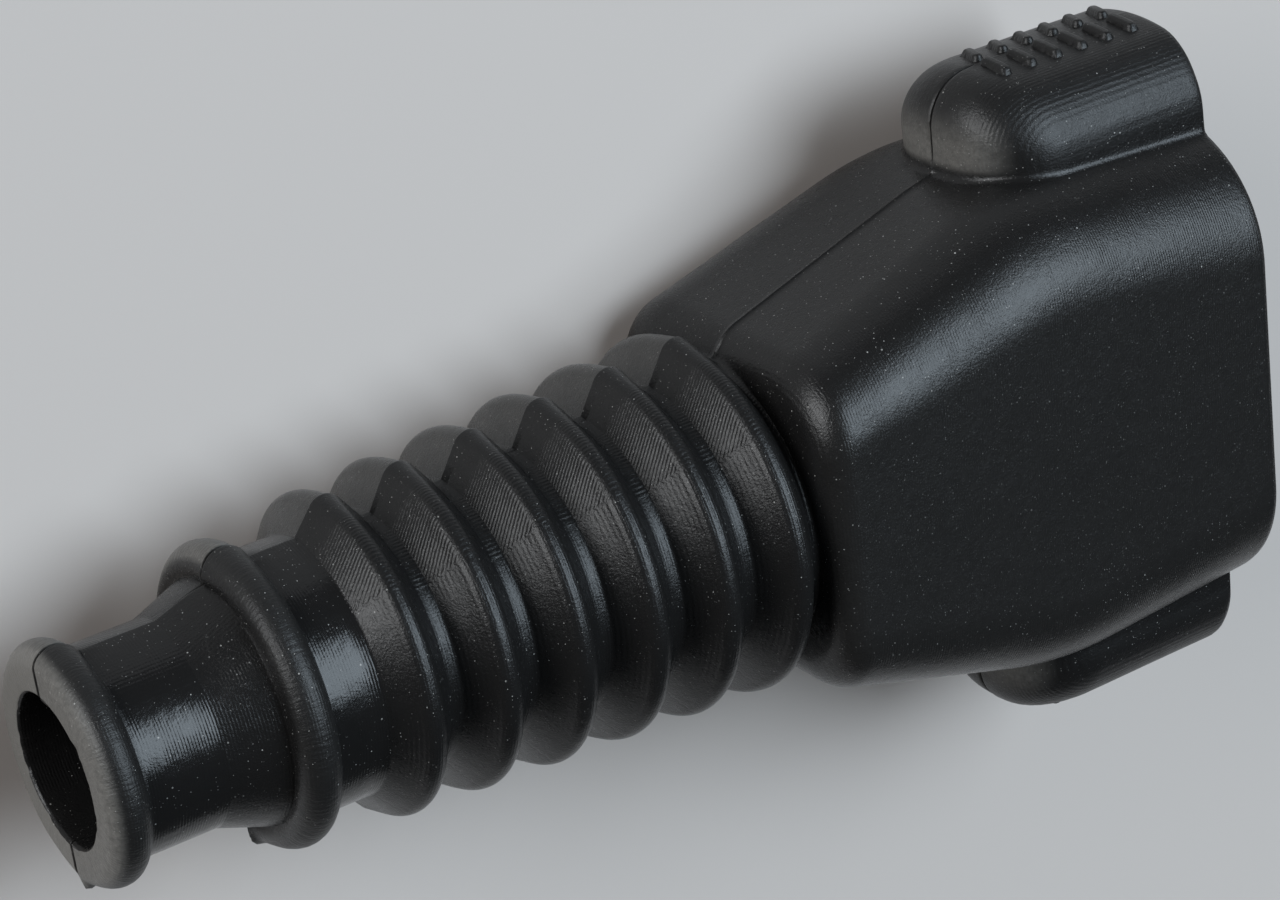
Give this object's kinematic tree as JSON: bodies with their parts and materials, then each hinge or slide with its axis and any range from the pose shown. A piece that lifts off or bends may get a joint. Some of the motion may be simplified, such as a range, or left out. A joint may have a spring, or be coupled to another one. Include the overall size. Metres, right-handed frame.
{
  "type": "connector rubber boot",
  "caption": "Moulded rubber boot that slips over a rectangular connector, with a beaded cable mouth, a bellows, a flared head and a raised, ribbed cover over each latch.",
  "frame": {"origin": "centre of the cable bore on the mouth face", "axes": "+X along the cable from the mouth to the open end of the head, +Y towards a latch cover, +Z out of the upper broad face"},
  "size_m": [0.0852, 0.0478, 0.0244],
  "materials": {
    "rubber": "satin, as moulded, with fine tool marks"
  },
  "bodies": {
    "root": {"boot": "rubber"}
  },
  "joints": []
}
